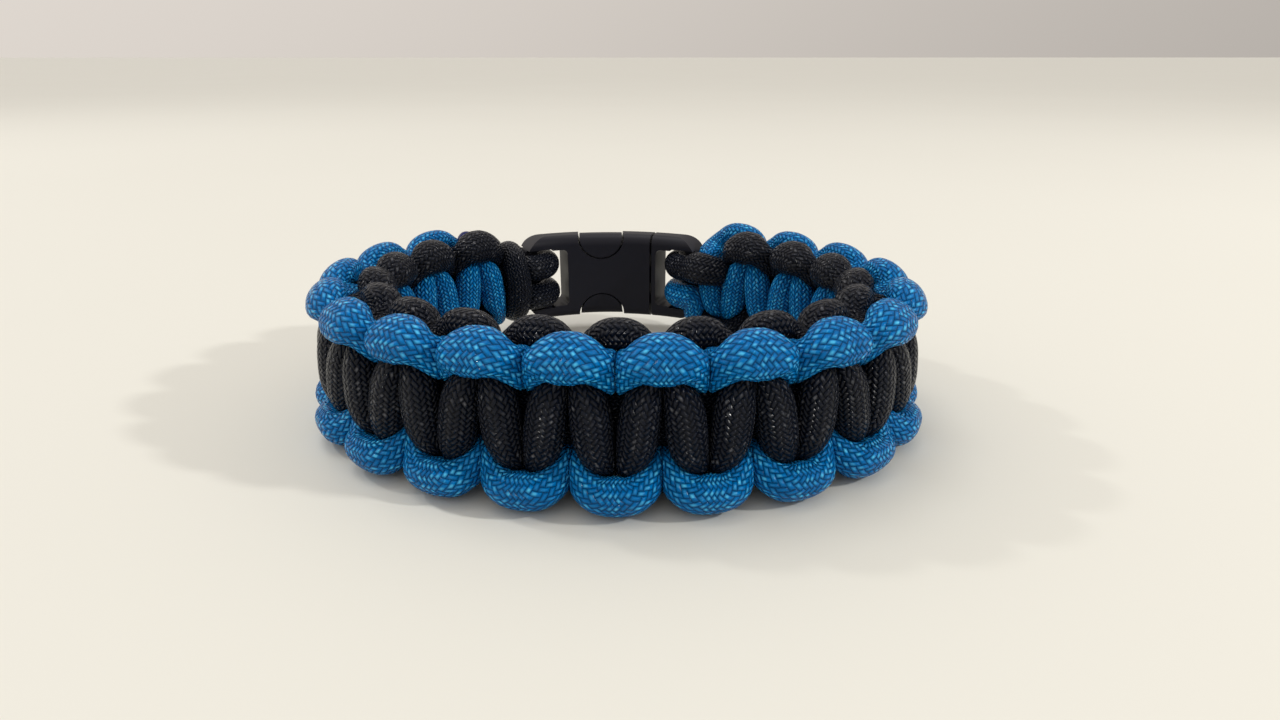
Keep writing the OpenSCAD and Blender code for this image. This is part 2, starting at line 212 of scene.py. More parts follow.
def black_start(edge):
    """From under the weave across its inner face, round the bar, and into the first outer bar."""
    places = [
        (FIRST_BAR + 0.62 * PITCH, -0.40 * HUG, 1.00 * LANE, 0.0),
        (FIRST_BAR + 0.42 * PITCH, -1.20 * HUG, 1.20 * LANE, 0.3),
        (FIRST_BAR - 0.02 * PITCH, -1.70 * HUG, 1.40 * LANE, 0.8),
        (FIRST_BAR - 0.50 * PITCH, -1.50 * HUG, 1.35 * LANE, 0.8),
        (PLUG_BAR + 0.6 * BAR_W, -1.08 * HUG, 1.10 * LANE, 0.2),
        (PLUG_BAR - 0.1 * BAR_W, -HUG, LANE, 0.0),
        (PLUG_BAR - 0.7 * THREAD, -0.7 * HUG, LANE, 0.0),
        (PLUG_BAR - THREAD, 0, LANE, 0.0),
        (PLUG_BAR - 0.7 * THREAD, 0.7 * HUG, LANE, 0.0),
        (PLUG_BAR - 0.1 * BAR_W, HUG, LANE, 0.0),
        (PLUG_BAR + 0.7 * BAR_W, 1.02 * HUG, 1.15 * LANE, 0.0),
        (FIRST_BAR - 0.42 * PITCH, 0.95 * HUG, 1.40 * LANE, 0.0),
        (FIRST_BAR - 0.12 * PITCH, 0.85 * HUG, 1.00 * LANE, 0.0),
    ]
    return [round_stop(x, y, edge * z, flat) for x, y, z, flat in places]


def start_stops(side, edge):
    return black_start(edge) if side > 0 else blue_start(side, edge)


END_ROWS = {
    1: [(-0.22, -0.45, 0.68, 94, 0.5, 1.1), (-0.10, -0.95, 0.86, 125, 0.5, 1.1)],
    -1: [(-0.28, -0.25, 0.78, 95, 0.4, 1.1), (-0.56, -0.25, 1.02, 105, 0.0, 1.0),
         (-0.76, -0.28, 1.08, 110, 0.0, 1.0)],
}


def end_stops(side, edge):
    return [knot_stop(row, side, edge, LAST_BAR) for row in HALF_KNOT[:3] + END_ROWS[side]]


print(f"start {len(start_stops(1, 1))} stops, end {len(end_stops(1, -1))} stops")

# %% [markdown]
# ## From stops to a smooth line
# Straight lines between the stops would kink. A cubic through the stops with slopes taken from
# their neighbours passes through every stop, and a little averaging afterwards takes out the last
# sudden changes of bend, as the stiffness of real cord does.

# %% Smooth line
FINE = 5


def smooth_line(stops, passes=6):
    stops = np.array(stops, float)
    step = np.sqrt(np.linalg.norm(np.diff(stops[:, :3], axis=0), axis=1))
    rise = np.diff(stops, axis=0) / step[:, None]
    slope = np.vstack([rise[:1],
                       (step[1:, None] * rise[:-1] + step[:-1, None] * rise[1:])
                       / (step[1:] + step[:-1])[:, None],
                       rise[-1:]])
    lines = []
    for part in range(FINE):
        t = part / FINE
        a, b = stops[:-1], stops[1:]
        lines.append((2 * t**3 - 3 * t**2 + 1) * a
                     + (t**3 - 2 * t**2 + t) * step[:, None] * slope[:-1]
                     + (3 * t**2 - 2 * t**3) * b
                     + (t**3 - t**2) * step[:, None] * slope[1:])
    line = np.stack(lines, axis=1).reshape(-1, stops.shape[1])
    line = np.vstack([line, stops[-1:]])
    for _ in range(passes):
        line[1:-1, :3] = (line[:-2, :3] + 2 * line[1:-1, :3] + line[2:, :3]) / 4
    return line


def along(line):
    return np.r_[0, np.cumsum(np.linalg.norm(np.diff(line[:, :3], axis=0), axis=1))]


one = smooth_line(weave_stops(1, 5, 1, 1))
per_knot = ROWS * FINE
print(f"one half knot takes {np.ptp(along(one)[per_knot:2 * per_knot + 1]):.1f} mm of cord")

# %% [markdown]
# ## Soft sections
# Cord has no fixed section. Where two cords press on each other, both flatten until they meet
# halfway. So each ring of points round the line starts as an ellipse and every point is then held
# back by whatever is in its way: the plane midway to each nearby stretch of cord, the core, the
# buckle's bars and rails, and on the inside of a bend the bend itself. The lengths here are in
# millimetres: REACH is how far a neighbour counts, and OWN_CLEAR how far along itself a cord starts
# to count as its own neighbour.

# %% Limits that hold a ring back
SIDES = 28
FAR = 1000.0
REACH = 9.0
OWN_CLEAR = 5.0
BEND_SHARE = 0.85
SOFTNESS = 18
FILL = 13.8
SOFT_CORD = 4.1
SOFT_BUMP_W = 5.5
SAME_PLACE = 0.4
GRAZING = 0.08
STRAIGHT = 0.01
LEAST_REACH = 0.25
SWELL_ROUNDS = 8
SWELL_SPREAD = 7
ring_angle = 2 * np.pi * np.arange(SIDES) / SIDES


def unit(v):
    return v / np.linalg.norm(v, axis=-1, keepdims=True)


def slab(place, way, half):
    """Distance along way from place to a slab of that half thickness, 0 inside it."""
    with np.errstate(divide="ignore", invalid="ignore"):
        gap = (np.abs(place) - half) / np.abs(way)
    gap = np.where(place * way < 0, gap, FAR)
    return np.where(np.abs(place) <= half, 0, gap)


def box_limit(place, way, middle, half):
    parts = [slab(place[:, None, k] - middle[k], way[..., k], half[k]) for k in range(3)]
    return np.maximum.reduce(parts)


def core_limit(place, way):
    limit = np.maximum(slab(place[:, None, 1], way[..., 1], CORE_T / 2 + AIR),
                       slab(place[:, None, 2], way[..., 2], CORE_Z + CORE_W / 2 + AIR))
    outside = (place[:, 0] < FIRST_BAR - PITCH / 2) | (place[:, 0] > LAST_BAR + PITCH / 2)
    limit[outside] = FAR
    return limit


def buckle_limit(place, way):
    rail_h = (BUCKLE_H - SLOT_H) / 2
    limits = []
    for bar in (PLUG_BAR, SOCKET_BAR):
        limits.append(box_limit(place, way, (bar, 0, 0),
                                (BAR_W / 2 + AIR, BAR_T / 2 + AIR, BUCKLE_H / 2)))
    for middle in (0, LOOP):
        for edge in (-1, 1):
            limits.append(box_limit(place, way, (middle, 0, edge * (SLOT_H + rail_h) / 2),
                                    (BUCKLE_LEN / 2 + AIR, BUCKLE_T / 2 + AIR, rail_h / 2 + AIR)))
    return np.minimum.reduce(limits)


def press_limit(place, way, others):
    """Distance to the nearest plane midway to another stretch of cord."""
    apart = others - place
    length = np.linalg.norm(apart, axis=1)
    keep = (length > SAME_PLACE) & (length < REACH)
    if not keep.any():
        return np.full(SIDES, FAR)
    apart, length = apart[keep], length[keep]
    facing = way @ apart.T
    ahead = facing > GRAZING * length
    with np.errstate(divide="ignore", invalid="ignore"):
        limit = np.where(ahead, (length - AIR) / 2 * length / facing, FAR)
    return limit.min(axis=1)


print(f"{SIDES} sides a ring, {math.pi * CORD**2 / 4:.1f} mm2 of round cord")

# %% [markdown]
# A real cord keeps its volume, so a ring that was squeezed swells wherever it is free, until its area
# is near FILL or it has swollen as far as its row of the table allows. The swelling is spread over
# neighbouring rings, which keeps the sheath smooth. One half knot is worked out in full and becomes
# the model for all the regular ones.


# %% Rings round a line
def ring_area(reach):
    return 0.5 * (reach * np.roll(reach, -1, axis=1)).sum(axis=1) * math.sin(2 * math.pi / SIDES)


def held_back(free, limit):
    """The smaller of the two, with a soft change from one to the other."""
    return (free**-SOFTNESS + limit**-SOFTNESS)**(-1 / SOFTNESS)


def rings(line, first, last, others, in_core=False):
    place = line[first:last + 1, :3]
    way = unit(np.gradient(line[:, :3], axis=0))
    distance = along(line)
    bend = np.gradient(way, axis=0) / np.gradient(distance)[:, None]
    way, bend = way[first:last + 1], bend[first:last + 1]
    out = line[first:last + 1, 3:6]
    out = unit(out - (out * way).sum(1, keepdims=True) * way)
    side = np.cross(way, out)
    spoke = out[:, None] * np.cos(ring_angle)[:, None] + side[:, None] * np.sin(ring_angle)[:, None]

    inside = (bend[:, None] * spoke).sum(2)
    limit = np.where(inside > STRAIGHT, BEND_SHARE / np.maximum(inside, STRAIGHT), FAR)
    limit = np.minimum(limit, buckle_limit(place, spoke))
    if not in_core:
        limit = np.minimum(limit, core_limit(place, spoke))
    for i in range(len(place)):
        own = line[np.abs(distance - distance[first + i]) > OWN_CLEAR, :3]
        neighbours = np.vstack([others[:, :3], own])
        limit[i] = np.minimum(limit[i], press_limit(place[i], spoke[i], neighbours))
    limit = np.maximum(limit, LEAST_REACH)

    flat = line[first:last + 1, 6:7]
    most = line[first:last + 1, 7:8]
    thick = SOFT_CORD + flat * (BUMP_T - SOFT_CORD)
    wide = SOFT_CORD + flat * (SOFT_BUMP_W - SOFT_CORD)
    free = 1 / np.hypot(2 * np.cos(ring_angle) / thick, 2 * np.sin(ring_angle) / wide)
    swell = np.ones((len(place), 1))
    for _ in range(SWELL_ROUNDS):
        swell *= (FILL / ring_area(held_back(swell * free, limit)))[:, None]**0.5
        swell = np.clip(swell, 1.0, most)
        padded = np.pad(swell[:, 0], SWELL_SPREAD // 2, mode="edge")
        swell = np.convolve(padded, np.ones(SWELL_SPREAD) / SWELL_SPREAD, mode="valid")[:, None]
    reach = held_back(swell * free, limit)
    return place[:, None] + reach[..., None] * spoke


def flipped(knot_rings, side, edge):
    """The rings of a mirrored half knot, turned so that their faces still point outwards."""
    new = knot_rings * np.array([1, side, edge])
    if side * edge < 0:
        new = np.roll(new[:, ::-1], 1, axis=1)
    return new


KNOTS_AROUND = 3
model_span = (1 - KNOTS_AROUND, 1 + KNOTS_AROUND)
model_line = smooth_line(weave_stops(*model_span, 1, -1))
model_other = smooth_line(weave_stops(*model_span, -1, 1))
model_start = KNOTS_AROUND * per_knot
model = rings(model_line, model_start, model_start + per_knot, model_other)
print(f"one half knot: {model.shape[0]} rings, reaches y {np.abs(model[..., 1]).max():.2f} mm,"
      f" z {np.abs(model[..., 2]).max():.2f} mm")

# %% [markdown]
# ## A mesh with the sheath's own measure on it
# The woven sheath runs along the cord, so its pattern needs to know two things at each point: how
# far along the cord it is, and how far round. Both are stored as a UV map in numbers of stitches,
# which a shader can count. Along the cord that is the length of the line. Round it, it is the share
# of the ring's real edge, so stitches don't stretch where a ring is pressed flat. The rings' own
# turning is taken out, so that the columns of stitches don't screw round the cord.

# %% Tube mesh
STITCH = 0.61
COLUMNS = 20


def twist(line_places, spokes):
    """How far each ring has turned against a frame that follows the line without twisting."""
    way = unit(np.gradient(line_places, axis=0))
    carried = spokes[0]
    turned = [0.0]
    for i in range(1, len(way)):
        carried = carried - (carried @ way[i]) * way[i]
        carried = carried / np.linalg.norm(carried)
        across = np.cross(way[i], spokes[i])
        now = math.atan2(carried @ across, carried @ spokes[i])
        previous = turned[-1]
        now += 2 * math.pi * round((previous - now) / (2 * math.pi))
        turned.append(now)
    return np.array(turned)


def sheath_map(tube, whole=False):
    """Stitches along and round at every point of the rings, one point more round than the ring has."""
    middle = tube.mean(axis=1)
    u = along(middle) / STITCH
    edge = np.linalg.norm(np.roll(tube, -1, axis=1) - tube, axis=2)
    v = np.hstack([np.zeros((len(tube), 1)), np.cumsum(edge, axis=1)]) / edge.sum(1, keepdims=True)
    spoke = unit(tube[:, 0] - middle)
    turned = twist(middle, spoke) / (2 * math.pi)
    if whole:
        u *= round(u[-1]) / u[-1]
        share = np.linspace(0, 1, len(tube))
        turned = turned - share * (turned[-1] - round(turned[-1]))
    return u, (v - turned[:, None]) * COLUMNS


def tube_mesh(name, tube, u, v, closed_start=False, closed_end=False):
    count = len(tube)
    verts = tube.reshape(-1, 3) * MM
    i, k = np.meshgrid(np.arange(count - 1), np.arange(SIDES), indexing="ij")
    n = (k + 1) % SIDES
    faces = np.stack([i * SIDES + k, i * SIDES + n, (i + 1) * SIDES + n, (i + 1) * SIDES + k], axis=2)
    corners = ((i, k), (i, k + 1), (i + 1, k + 1), (i + 1, k))
    uv = np.stack([np.stack([u[row], v[row, column]], 2) for row, column in corners], axis=2)
    faces = faces.reshape(-1, 4).tolist()
    uv = uv.reshape(-1, 2)
    verts = verts.tolist()
    for row, there in ((0, closed_start), (count - 1, closed_end)):
        if there:
            tip = len(verts)
            verts.append((tube[row].mean(axis=0) * MM).tolist())
            for k in range(SIDES):
                a, b = row * SIDES + k, row * SIDES + (k + 1) % SIDES
                faces.append([b, a, tip] if row == 0 else [a, b, tip])
            uv = np.vstack([uv, np.tile([u[row], v[row, 0]], (3 * SIDES, 1))])
    mesh = bpy.data.meshes.new(name)
    mesh.from_pydata(verts, [], faces)
    layer = mesh.uv_layers.new(name="sheath")
    layer.data.foreach_set("uv", uv.ravel())
    mesh.validate()
    return mesh


def object_of(mesh, name):
    thing = bpy.data.objects.new(name, mesh)
    bpy.context.scene.collection.objects.link(thing)
    return thing


print(f"{COLUMNS} columns of stitches, each stitch {STITCH} mm of cord")

# %% [markdown]
# ## A row of half knots
# The middle of the weave is the same two half knots over and over. That is a job for Geometry
# Nodes: a line of points, an instance of the pair on each one, and the pair's stitches counted on
# from one copy to the next so that the sheath's pattern never jumps.

# %% Node tree that repeats a pair of half knots
def new_tree(name, inputs):
    tree = bpy.data.node_groups.new(name, "GeometryNodeTree")
    tree.interface.new_socket("Geometry", in_out="INPUT", socket_type="NodeSocketGeometry")
    for label, kind in inputs:
        tree.interface.new_socket(label, in_out="INPUT", socket_type=kind)
    tree.interface.new_socket("Geometry", in_out="OUTPUT", socket_type="NodeSocketGeometry")
    return tree, tree.nodes.new("NodeGroupInput"), tree.nodes.new("NodeGroupOutput")


def add(tree, kind, links=(), **settings):
    """Adds a node, sets it up and links each named input from a socket, or gives it a value."""
    node = tree.nodes.new(kind)
    for key, value in settings.items():
        setattr(node, key, value)
    for key, source in dict(links).items():
        if isinstance(source, bpy.types.NodeSocket):
            tree.links.new(source, node.inputs[key])
        else:
            node.inputs[key].default_value = source
    return node


def row_tree():
    tree, given, made = new_tree("half_knots_in_a_row", [
        ("Copies", "NodeSocketInt"), ("Spacing", "NodeSocketFloat"), ("Stitches", "NodeSocketFloat")])
    step = add(tree, "ShaderNodeCombineXYZ", {"X": given.outputs["Spacing"]})
    line = add(tree, "GeometryNodeMeshLine", {"Count": given.outputs["Copies"], "Offset": step.outputs[0]})
    index = add(tree, "GeometryNodeInputIndex")
    numbered = add(tree, "GeometryNodeStoreNamedAttribute",
                   {"Geometry": line.outputs[0], "Name": "copy", "Value": index.outputs[0]},
                   data_type="FLOAT", domain="POINT")
    copies = add(tree, "GeometryNodeInstanceOnPoints",
                 {"Points": numbered.outputs[0], "Instance": given.outputs["Geometry"]})
    real = add(tree, "GeometryNodeRealizeInstances", {"Geometry": copies.outputs[0]})
    copy = add(tree, "GeometryNodeInputNamedAttribute", {"Name": "copy"}, data_type="FLOAT")
    sheath = add(tree, "GeometryNodeInputNamedAttribute", {"Name": "sheath"}, data_type="FLOAT_VECTOR")
    shift = add(tree, "ShaderNodeMath", {0: copy.outputs[0], 1: given.outputs["Stitches"]},
                operation="MULTIPLY")
    shift_x = add(tree, "ShaderNodeCombineXYZ", {"X": shift.outputs[0]})
    counted = add(tree, "ShaderNodeVectorMath", {0: sheath.outputs[0], 1: shift_x.outputs[0]},
                  operation="ADD")
    stored = add(tree, "GeometryNodeStoreNamedAttribute",
                 {"Geometry": real.outputs[0], "Name": "sheath", "Value": counted.outputs[0]},
                 data_type="FLOAT2", domain="CORNER")
    tree.links.new(stored.outputs[0], made.inputs["Geometry"])
    return tree


def run_tree(thing, tree, values):
    """Runs a node tree on an object, keeps the result as its plain mesh and takes the modifier off."""
    modifier = thing.modifiers.new(tree.name, "NODES")
    modifier.node_group = tree
    sockets = {item.name: item.identifier for item in tree.interface.items_tree
               if item.item_type == "SOCKET" and item.in_out == "INPUT"}
    for name, value in values.items():
        modifier[sockets[name]] = value
    bpy.context.view_layer.update()
    evaluated = thing.evaluated_get(bpy.context.evaluated_depsgraph_get())
    mesh = bpy.data.meshes.new_from_object(evaluated)
    thing.modifiers.clear()
    thing.data = mesh


repeat_pair = row_tree()
print("tree:", repeat_pair.name, "with", len(repeat_pair.nodes), "nodes")

# %% [markdown]
# ## Bending the band round the loop
# The straight band is now laid round the plan curve. A Curve modifier could do it, but a small tree
# is exact: the x of each point is a length along the curve, and y and z are steps outwards and up
# from there. The same tree welds the joins, smooths the shading and sets the material.


# %% Node tree that bends the band
def bend_tree():
    tree, given, made = new_tree("bend_round_the_loop", [
        ("Plan", "NodeSocketObject"), ("Length", "NodeSocketFloat"), ("Weld", "NodeSocketFloat"),
        ("Material", "NodeSocketMaterial")])
    plan_info = add(tree, "GeometryNodeObjectInfo", {"Object": given.outputs["Plan"]})
    place = add(tree, "ShaderNodeSeparateXYZ", {0: add(tree, "GeometryNodeInputPosition").outputs[0]})
    wrapped = add(tree, "ShaderNodeMath", {0: place.outputs["X"], 1: given.outputs["Length"]},
                  operation="FLOORED_MODULO")
    sample = add(tree, "GeometryNodeSampleCurve",
                 {"Curves": plan_info.outputs["Geometry"], "Length": wrapped.outputs[0]}, mode="LENGTH")
    upwards = (0.0, 0.0, 1.0)
    normal = add(tree, "ShaderNodeVectorMath", {0: upwards, 1: sample.outputs["Tangent"]},
                 operation="CROSS_PRODUCT")
    level = add(tree, "ShaderNodeVectorMath", {0: normal.outputs[0]}, operation="NORMALIZE")
    outwards = add(tree, "ShaderNodeVectorMath", {0: level.outputs[0], "Scale": place.outputs["Y"]},
                   operation="SCALE")
    height = add(tree, "ShaderNodeCombineXYZ", {"Z": place.outputs["Z"]})
    beside = add(tree, "ShaderNodeVectorMath", {0: sample.outputs["Position"], 1: outwards.outputs[0]},
                 operation="ADD")
    moved = add(tree, "ShaderNodeVectorMath", {0: beside.outputs[0], 1: height.outputs[0]},
                operation="ADD")
    bent = add(tree, "GeometryNodeSetPosition",
               {"Geometry": given.outputs["Geometry"], "Position": moved.outputs[0]})
    welded = add(tree, "GeometryNodeMergeByDistance",
                 {"Geometry": bent.outputs[0], "Distance": given.outputs["Weld"]})
    smooth = add(tree, "GeometryNodeSetShadeSmooth", {"Geometry": welded.outputs[0]})
    real = add(tree, "GeometryNodeRealizeInstances", {"Geometry": smooth.outputs[0]})
    finish = add(tree, "GeometryNodeSetMaterial",
                 {"Geometry": real.outputs[0], "Material": given.outputs["Material"]})
    tree.links.new(finish.outputs[0], made.inputs["Geometry"])
    return tree


bend_band = bend_tree()
print("tree:", bend_band.name, "with", len(bend_band.nodes), "nodes")

# %% [markdown]
# ## The sheath's material
# The sheath of such a cord is braided of many fine yarns, each passing over two and under two. What
# one sees is columns of small slanting stitches that lean left and right in turn. An image could
# show that, but it would blur close up, so the pattern is worked out from the stitch counts: two
# families of slanting bands are numbered, and the difference of the two numbers says which yarn is
# on top. A shader does its sums in Math nodes, and a small helper writes them down shortly.


# %% Small maths helpers for shaders
class Sums:
    """Writes chains of Math nodes as plain sums."""

    def __init__(self, tree):
        self.tree = tree

    def __call__(self, operation, *values, clamp=False):
        node = self.tree.nodes.new("ShaderNodeMath")
        node.operation = operation
        node.use_clamp = clamp
        for socket, value in zip(node.inputs, values):
            if isinstance(value, bpy.types.NodeSocket):
                self.tree.links.new(value, socket)
            else:
                socket.default_value = value
        return node.outputs[0]

    def mix(self, share, a, b):
        """a where share is 0 and b where it is 1."""
        rest = self("SUBTRACT", 1.0, share)
        return self("ADD", self("MULTIPLY", a, rest), self("MULTIPLY", b, share))


def new_material(name):
    material = bpy.data.materials.new(name)
    material.use_nodes = True
    tree = material.node_tree
    return material, tree, tree.nodes["Principled BSDF"]


print("helpers ready: new_tree, add, Sums, new_material")

# %% [markdown]
# Each stitch is rounded across and dips at its ends, and painted shade darkens the grooves round it.
# Its colour is partly its own tint and partly painted shading, lighter on its raised middle, and on
# some stitches a pale painted highlight near one end stands in for light catching it. The cut end of
# a nylon cord is sealed with a flame, so after a certain stitch the pattern melts into one dark,
# smooth tip. The node called melt_from says which stitch, and is set once the cord's length is known.

# %% Braided sheath
END_DIP = 3.5
# How quickly the painted shade of the grooves gives way to the stitch's colour as the stitch rises.
GROOVE_SHADE_EDGE = 3.8
# Where the painted highlight sits along a stitch, how fast it fades along it and how narrow it is across.
HIGHLIGHT_AT = 0.66
HIGHLIGHT_EDGE = 3.6
HIGHLIGHT_ROUNDNESS = 4.0
STITCH_RELIEF = 0.34 * MM
MELT_CHANGE = 2.0
NEVER = 100 * FAR


def sheath_material(name, dark, light, painted_highlight, groove_shade, burnt, highlight_rarity, roughness, glint, shine):
    """Over two and under two: the bands' difference, counted round to four, says which is on top."""
    material, tree, shader = new_material(name)
    sums = Sums(tree)
    uv = add(tree, "ShaderNodeUVMap", uv_map="sheath")
    apart = add(tree, "ShaderNodeSeparateXYZ", {0: uv.outputs[0]})
    u, v = apart.outputs[0], apart.outputs[1]
    a, b = sums("ADD", u, v), sums("SUBTRACT", u, v)
    row_a, row_b = sums("FLOOR", a), sums("FLOOR", b)
    part_a, part_b = sums("FRACT", a), sums("FRACT", b)
    which = sums("FLOORED_MODULO", sums("SUBTRACT", row_a, row_b), 4.0)
    b_on_top = sums("GREATER_THAN", which, 1.5)
    second = sums("FLOORED_MODULO", which, 2.0)
    across = sums.mix(b_on_top, part_a, part_b)
    along_a = sums("ADD", part_b, sums("SUBTRACT", 1.0, second))
    along_b = sums("ADD", part_a, second)
    along_stitch = sums("MULTIPLY", sums.mix(b_on_top, along_a, along_b), 0.5)

    def arch(share, power):
        centred = sums("ABSOLUTE", sums("SUBTRACT", sums("MULTIPLY", share, 2.0), 1.0))
        return sums("SUBTRACT", 1.0, sums("POWER", centred, power))

    round_arch = sums("POWER", arch(across, 2.0), 0.5)
    long_arch = arch(along_stitch, END_DIP)
    height = sums("MULTIPLY", round_arch, long_arch)

    next_a = sums("FLOOR", sums("MULTIPLY", sums("ADD", row_a, which), 0.5))
    next_b = sums("FLOOR", sums("MULTIPLY", sums("ADD", row_b, which), 0.5))
    stitch = add(tree, "ShaderNodeCombineXYZ", {
        0: sums.mix(b_on_top, row_a, next_a), 1: sums.mix(b_on_top, next_b, row_b), 2: b_on_top})
    chance = add(tree, "ShaderNodeTexWhiteNoise", {"Vector": stitch.outputs[0]}, noise_dimensions="3D")
    lot = chance.outputs["Value"]

    # Partly the stitch's own tone and partly painted shading: the mix factor is half a random tone for
    # each stitch and half the stitch's height, so its raised middle is painted lighter and its sides and
    # ends darker.
    tint = add(tree, "ShaderNodeMix", data_type="RGBA")
    tint.inputs["A"].default_value = (*dark, 1)
    tint.inputs["B"].default_value = (*light, 1)
    shade = sums("ADD", sums("MULTIPLY", lot, 0.5), sums("MULTIPLY", height, 0.5))
    tree.links.new(shade, tint.inputs["Factor"])
    melt_from = add(tree, "ShaderNodeValue", name="melt_from")
    melt_from.outputs[0].default_value = NEVER
    melted = sums("DIVIDE", sums("SUBTRACT", u, melt_from.outputs[0]), MELT_CHANGE, clamp=True)
    height = sums("MULTIPLY", height, sums("SUBTRACT", 1.0, melted))
    # Painted shade: the low parts round each stitch take the darker colour of the grooves, standing in for
    # shade there.
    groove_shade_mix = add(tree, "ShaderNodeMix", data_type="RGBA")
    groove_shade_mix.inputs["A"].default_value = (*groove_shade, 1)
    # Painted highlight: a pale colour painted near one end of the raised middle of some stitches, standing
    # in for light caught there; the power on the random lot makes it sparse.
    painted_highlight_mix = add(tree, "ShaderNodeMix", data_type="RGBA")
    tree.links.new(tint.outputs["Result"], painted_highlight_mix.inputs["A"])
    painted_highlight_mix.inputs["B"].default_value = (*painted_highlight, 1)
    from_highlight_spot = sums("MULTIPLY", sums("SUBTRACT", along_stitch, HIGHLIGHT_AT), HIGHLIGHT_EDGE)
    highlight_spot = sums("SUBTRACT", 1.0, sums("MULTIPLY", from_highlight_spot, from_highlight_spot), clamp=True)
    highlight_spot = sums("MULTIPLY", highlight_spot, sums("POWER", round_arch, HIGHLIGHT_ROUNDNESS))
    tree.links.new(sums("MULTIPLY", highlight_spot, sums("POWER", lot, highlight_rarity)), painted_highlight_mix.inputs["Factor"])
    tree.links.new(painted_highlight_mix.outputs["Result"], groove_shade_mix.inputs["B"])
    tree.links.new(sums("MULTIPLY", height, GROOVE_SHADE_EDGE, clamp=True), groove_shade_mix.inputs["Factor"])
    tip = add(tree, "ShaderNodeMix", {"Factor": melted}, data_type="RGBA")
    tree.links.new(groove_shade_mix.outputs["Result"], tip.inputs["A"])
    tip.inputs["B"].default_value = (*burnt, 1)
    tree.links.new(tip.outputs["Result"], shader.inputs["Base Color"])

    tree.links.new(sums("ADD", roughness, sums("MULTIPLY", sums("SUBTRACT", lot, 0.5), -glint)),
                   shader.inputs["Roughness"])
    shader.inputs["Specular IOR Level"].default_value = shine
    bump = add(tree, "ShaderNodeBump", {"Height": height, "Distance": STITCH_RELIEF, "Strength": 1.0})
    tree.links.new(bump.outputs[0], shader.inputs["Normal"])
    return material


# Each sheath mixes its own random tone, dark to light, with painted shading by stitch height; its third
# colour is a painted highlight on some stitches, its fourth the painted shade in the grooves, and the last
# the melted tip's own colour.
black_sheath = sheath_material(
    "black_sheath", dark=(0.003, 0.0045, 0.010), light=(0.007, 0.010, 0.020),
    painted_highlight=(0.11, 0.115, 0.13), groove_shade=(0.001, 0.001, 0.003), burnt=(0.004, 0.004, 0.005),
    highlight_rarity=9.0, roughness=0.24, glint=0.2, shine=0.16)
blue_sheath = sheath_material(
    "blue_sheath", dark=(0.0, 0.098, 0.31), light=(0.0, 0.205, 0.61),
    painted_highlight=(0.10, 0.62, 1.0), groove_shade=(0.0, 0.030, 0.12), burnt=(0.003, 0.010, 0.10),
    highlight_rarity=1.5, roughness=0.22, glint=0.2, shine=0.11)
print("materials:", black_sheath.name, blue_sheath.name)

# %% [markdown]
# ## The core
# Two plain strands run inside the weave and are joined by a hitch round the socket's bar: the cord
# goes up one side, round the bar, across itself and back down the other side. The weaving cords
# press on this hitch, so its line comes before them.


# %% Core line
def hitch_half(edge):
    places = [
        (LAST_BAR + 0.3 * PITCH, -0.2, CORE_Z),
        (SOCKET_BAR - 1.3 * BAR_W, -0.45 * HUG, 0.9 * LANE),
        (SOCKET_BAR - 0.75 * BAR_W, -0.88 * HUG, LANE),
        (SOCKET_BAR, -HUG, LANE),
        (SOCKET_BAR + 0.7 * THREAD, -0.7 * HUG, LANE),
        (SOCKET_BAR + THREAD, 0, LANE),
        (SOCKET_BAR + 0.7 * THREAD, 0.7 * HUG, LANE),
        (SOCKET_BAR, HUG, LANE),
        (SOCKET_BAR - 1.1 * BAR_W, 0.85 * HUG, 1.35 * LANE),
        (SOCKET_BAR - 1.6 * BAR_W, 0, 1.90 * LANE),
        (SOCKET_BAR - 1.7 * BAR_W, -0.80 * HUG, 1.60 * LANE),
        (SOCKET_BAR - 1.7 * BAR_W, -1.2 * HUG, 0.95 * LANE),
    ]
    return [round_stop(x, y, edge * z) for x, y, z in places]


hitch_stops = (hitch_half(1) + [round_stop(SOCKET_BAR - 1.7 * BAR_W, -1.35 * HUG, 0)]
               + hitch_half(-1)[::-1])
hitch_line = smooth_line(hitch_stops, passes=3)
print(f"the hitch takes {along(hitch_line)[-1]:.0f} mm of cord")

# %% [markdown]
# ## How the band settles
# A bracelet that stands on a table is never quite upright. At the front its upper bumps lean back,
# towards the middle of the loop, and at the sides the foot spreads. The CAD's band is upright, so
# the scene's cords are moved by a small amount that grows and fades smoothly round the loop. The cut
# end of a cord is closed in by its last rings, so that it is round like a melted tip.

# %% Settling and ends
FRONT_LEAN = 1.5
FOOT_FLARE = 0.7
HEIGHT_LIMIT = 1.3
MELTED = 4.5
MELTED_RINGS = 7
LAST_RING = 0.97


def settle(places):
    """Lets the front lean back at the top and the sides spread a little at the foot."""
    turn = 2 * np.pi * places[:, 0] / (LOOP * MM)
    front = ((1 - np.cos(turn)) / 2)**2
    sides = np.sin(turn)**4
    height = np.clip(places[:, 2] / (EDGE_Z * MM), -HEIGHT_LIMIT, HEIGHT_LIMIT)
    places[:, 1] -= FRONT_LEAN * MM * front * (1 + height) / 2
    places[:, 1] += FOOT_FLARE * MM * sides * (1 - height) / 2
    return places


def rounded_end(tube):
    """Closes in the last rings, as a flame does with the cut end of a cord."""
    share = np.linspace(0, LAST_RING, MELTED_RINGS)
    closing = np.sqrt(1 - share**2)[:, None, None]
    middle = tube[-MELTED_RINGS:].mean(axis=1, keepdims=True)
    tube[-MELTED_RINGS:] = middle + (tube[-MELTED_RINGS:] - middle) * closing
    return tube


print(f"the front leans {FRONT_LEAN} mm, the foot spreads {FOOT_FLARE} mm")

